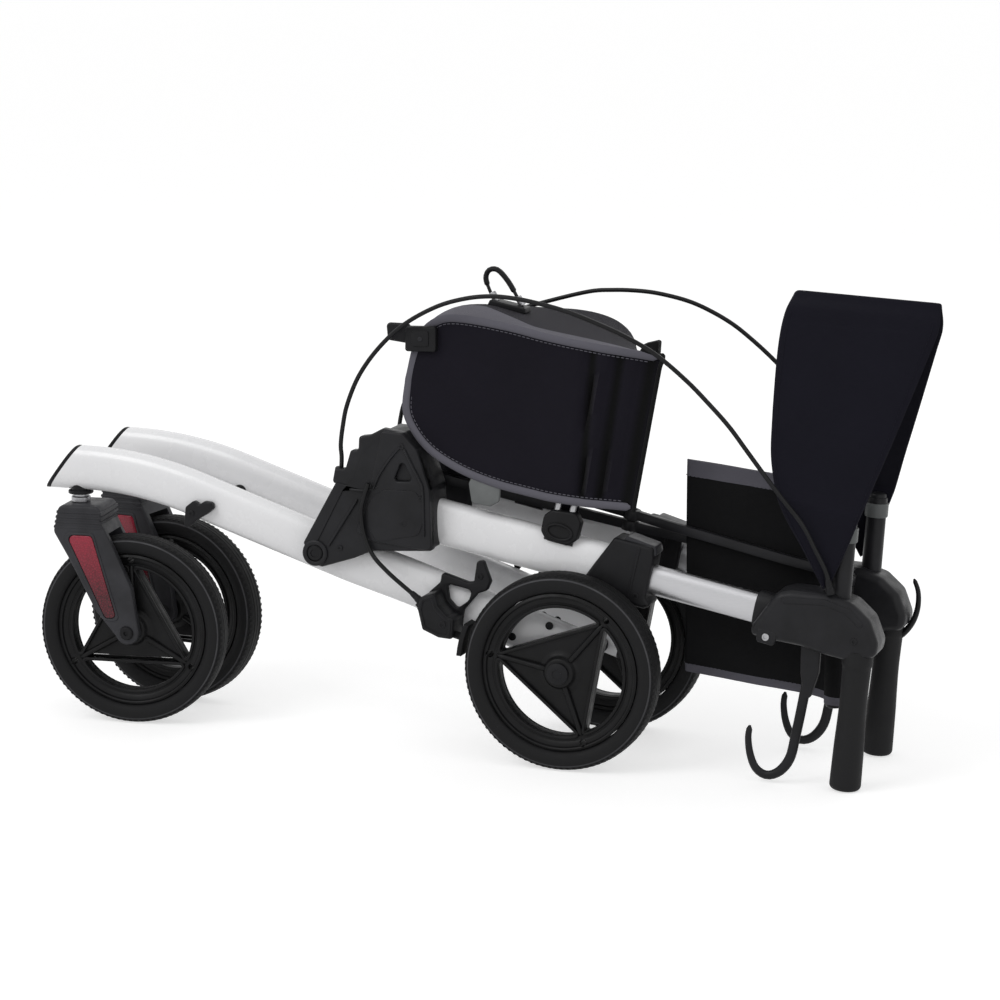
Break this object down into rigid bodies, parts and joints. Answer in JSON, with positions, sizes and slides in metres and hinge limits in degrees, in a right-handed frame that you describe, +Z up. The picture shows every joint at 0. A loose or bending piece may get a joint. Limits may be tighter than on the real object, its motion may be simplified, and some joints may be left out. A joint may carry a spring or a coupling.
{
  "type": "folding rollator",
  "caption": "Wheeled walker that folds side to side and lengthwise, shown folded, with sling seat, backrest strap, bag and cable brakes.",
  "frame": {"origin": "centre of the folded object's bounding box, on the floor", "axes": "+X from the casters to the handles, +Y to the right side, +Z up"},
  "size_m": [0.9352, 0.208, 0.488],
  "materials": {
    "white_paint": "gloss",
    "aluminium": "satin",
    "steel": "satin",
    "black_plastic": "matte",
    "grey_plastic": "satin",
    "tyre_rubber": "matte",
    "grip_rubber": "matte",
    "red_lens": "gloss",
    "cable_sheath": "satin",
    "bag_cloth": "matte",
    "seat_cloth": "matte",
    "strap_cloth": "matte"
  },
  "bodies": {
    "left_base": {"left_base_tube": "white_paint", "left_front_fitting": "black_plastic", "left_lock_hook": "black_plastic", "left_hinge_pin": "steel", "left_rear_axle": "black_plastic", "left_brake_housing": "black_plastic", "left_lower_cable": "cable_sheath"},
    "left_brake_shoe": {"left_brake_shoe": "tyre_rubber"},
    "left_caster": {"left_caster_stem": "steel", "left_fork": "grey_plastic", "left_reflectors": "red_lens", "left_front_axle": "steel"},
    "left_front_wheel": {"left_front_tyre": "tyre_rubber", "left_front_rim": "black_plastic"},
    "left_rear_wheel": {"left_rear_tyre": "tyre_rubber", "left_rear_rim": "black_plastic"},
    "left_column": {"left_hinge_housing": "grey_plastic", "left_column_tube": "white_paint", "left_collar": "black_plastic", "left_upper_cable": "cable_sheath", "bag": "bag_cloth", "bag_loop": "black_plastic"},
    "left_post": {"left_post_tube": "aluminium", "left_handle_bracket": "grey_plastic", "left_grip": "grip_rubber", "left_backrest_arm": "grey_plastic"},
    "left_lever": {"left_brake_lever": "grey_plastic"},
    "left_rail": {"left_seat_rail": "grey_plastic"},
    "left_seat": {"left_seat_half": "seat_cloth"},
    "left_strap": {"left_strap_half": "strap_cloth"},
    "right_base": {"right_base_tube": "white_paint", "right_front_fitting": "black_plastic", "right_lock_hook": "black_plastic", "right_hinge_pin": "steel", "right_rear_axle": "black_plastic", "right_brake_housing": "black_plastic", "right_lower_cable": "cable_sheath"},
    "right_brake_shoe": {"right_brake_shoe": "tyre_rubber"},
    "right_caster": {"right_caster_stem": "steel", "right_fork": "grey_plastic", "right_reflectors": "red_lens", "right_front_axle": "steel"},
    "right_front_wheel": {"right_front_tyre": "tyre_rubber", "right_front_rim": "black_plastic"},
    "right_rear_wheel": {"right_rear_tyre": "tyre_rubber", "right_rear_rim": "black_plastic"},
    "right_column": {"right_hinge_housing": "grey_plastic", "right_column_tube": "white_paint", "right_collar": "black_plastic", "right_upper_cable": "cable_sheath"},
    "right_post": {"right_post_tube": "aluminium", "right_handle_bracket": "grey_plastic", "right_grip": "grip_rubber", "right_backrest_arm": "grey_plastic"},
    "right_lever": {"right_brake_lever": "grey_plastic"},
    "right_rail": {"right_seat_rail": "grey_plastic"},
    "right_seat": {"right_seat_half": "seat_cloth"},
    "right_strap": {"right_strap_half": "strap_cloth"},
    "brace_a": {"brace_bar_a": "grey_plastic"},
    "brace_b": {"brace_bar_b": "grey_plastic"}
  },
  "joints": [
    {"name": "column_unfold", "type": "hinge", "parent": "left_base", "child": "left_column", "pos_m": [-0.15171, 0, 0.201], "axis": [0, -1, 0], "range_deg": [0, 89], "deforming": ["left_lower_cable", "right_lower_cable"]},
    {"name": "cross_open", "type": "slide", "parent": "left_column", "child": "right_column", "axis": [0, 1, 0], "range_m": [0, 0.28]},
    {"name": "right_base_fold", "type": "hinge", "parent": "right_column", "child": "right_base", "pos_m": [-0.15171, 0, 0.201], "axis": [0, -1, 0], "range_deg": [-89, 0]},
    {"name": "handle_height", "type": "slide", "parent": "left_column", "child": "left_post", "axis": [0.981, 0, -0.1942], "range_m": [0, 0.11], "deforming": ["left_upper_cable", "right_upper_cable"]},
    {"name": "right_handle_height", "type": "slide", "parent": "right_column", "child": "right_post", "axis": [0.981, 0, -0.1942], "range_m": [0, 0.11]},
    {"name": "left_lever_squeeze", "type": "hinge", "parent": "left_post", "child": "left_lever", "pos_m": [0.35909, -0.07, 0.13961], "axis": [0, -1, 0], "range_deg": [0, 12]},
    {"name": "left_brake_press", "type": "slide", "parent": "left_base", "child": "left_brake_shoe", "axis": [0.9703, 0, -0.2419], "range_m": [0, 0.0025]},
    {"name": "left_swivel", "type": "hinge", "parent": "left_base", "child": "left_caster", "pos_m": [-0.42471, -0.058, 0.25], "axis": [0, 0, -1], "range_deg": [-9, 186]},
    {"name": "left_front_spin", "type": "hinge", "parent": "left_caster", "child": "left_front_wheel", "pos_m": [-0.36902, -0.05215, 0.1], "axis": [-0.1045, 0.9945, 0], "continuous": true},
    {"name": "left_rear_spin", "type": "hinge", "parent": "left_base", "child": "left_rear_wheel", "pos_m": [0.11129, -0.085, 0.1], "axis": [0, 1, 0], "continuous": true},
    {"name": "right_lever_squeeze", "type": "hinge", "parent": "right_post", "child": "right_lever", "pos_m": [0.35909, 0.07, 0.13961], "axis": [0, -1, 0], "range_deg": [0, 12]},
    {"name": "right_brake_press", "type": "slide", "parent": "right_base", "child": "right_brake_shoe", "axis": [0.9703, 0, -0.2419], "range_m": [0, 0.0025]},
    {"name": "right_swivel", "type": "hinge", "parent": "right_base", "child": "right_caster", "pos_m": [-0.42471, 0.058, 0.25], "axis": [0, 0, 1], "range_deg": [-9, 186]},
    {"name": "right_front_spin", "type": "hinge", "parent": "right_caster", "child": "right_front_wheel", "pos_m": [-0.36902, 0.05215, 0.1], "axis": [0.1045, 0.9945, 0], "continuous": true},
    {"name": "right_rear_spin", "type": "hinge", "parent": "right_base", "child": "right_rear_wheel", "pos_m": [0.11129, 0.085, 0.1], "axis": [0, 1, 0], "continuous": true},
    {"name": "brace_a_turn", "type": "hinge", "parent": "left_column", "child": "brace_a", "pos_m": [-0.06027, -0.016, 0.27668], "axis": [0.1942, 0, 0.981], "range_deg": [0, 41.1]},
    {"name": "brace_b_turn", "type": "hinge", "parent": "brace_a", "child": "brace_b", "pos_m": [0.15456, 0, 0.23414], "axis": [0.1942, 0, 0.981], "range_deg": [-82.19, 0]},
    {"name": "right_rail_turn", "type": "hinge", "parent": "brace_a", "child": "right_rail", "pos_m": [0.36939, 0.016, 0.19161], "axis": [0.1942, 0, 0.981], "range_deg": [-41.1, 0]},
    {"name": "left_rail_turn", "type": "hinge", "parent": "brace_b", "child": "left_rail", "pos_m": [0.37162, -0.016, 0.20289], "axis": [0.1942, 0, 0.981], "range_deg": [0, 41.1]},
    {"name": "left_seat_turn", "type": "hinge", "parent": "left_rail", "child": "left_seat", "pos_m": [0.37162, -0.016, 0.20289], "axis": [0, 0, -1], "range_deg": [0, 90], "deforming": ["left_seat_half"]},
    {"name": "left_strap_turn", "type": "hinge", "parent": "left_post", "child": "left_strap", "pos_m": [0.39375, -0.0778, 0.27343], "axis": [-0.981, 0, 0.1942], "range_deg": [0, 56.36], "deforming": ["left_strap_half"]},
    {"name": "right_seat_turn", "type": "hinge", "parent": "right_rail", "child": "right_seat", "pos_m": [0.36939, 0.016, 0.19161], "axis": [0, 0, 1], "range_deg": [0, 90], "deforming": ["right_seat_half"]},
    {"name": "right_strap_turn", "type": "hinge", "parent": "right_post", "child": "right_strap", "pos_m": [0.39375, 0.0778, 0.27343], "axis": [0.981, 0, -0.1942], "range_deg": [0, 56.36], "deforming": ["right_strap_half"]}
  ],
  "couplings": [
    {"joint": "right_base_fold", "follows": "column_unfold", "ratio": -1},
    {"joint": "right_handle_height", "follows": "handle_height", "ratio": 1},
    {"joint": "left_brake_press", "follows": "left_lever_squeeze", "m_per_rad": 0.011935},
    {"joint": "right_brake_press", "follows": "right_lever_squeeze", "m_per_rad": 0.011935},
    {"joint": "brace_a_turn", "follows": "cross_open", "rad_per_m": 2.5614},
    {"joint": "brace_b_turn", "follows": "cross_open", "rad_per_m": -5.1228},
    {"joint": "right_rail_turn", "follows": "cross_open", "rad_per_m": -2.5614},
    {"joint": "left_rail_turn", "follows": "cross_open", "rad_per_m": 2.5614},
    {"joint": "left_seat_turn", "follows": "cross_open", "rad_per_m": 5.6094},
    {"joint": "left_strap_turn", "follows": "cross_open", "rad_per_m": 3.5122},
    {"joint": "right_seat_turn", "follows": "cross_open", "rad_per_m": 5.6094},
    {"joint": "right_strap_turn", "follows": "cross_open", "rad_per_m": 3.5122}
  ]
}
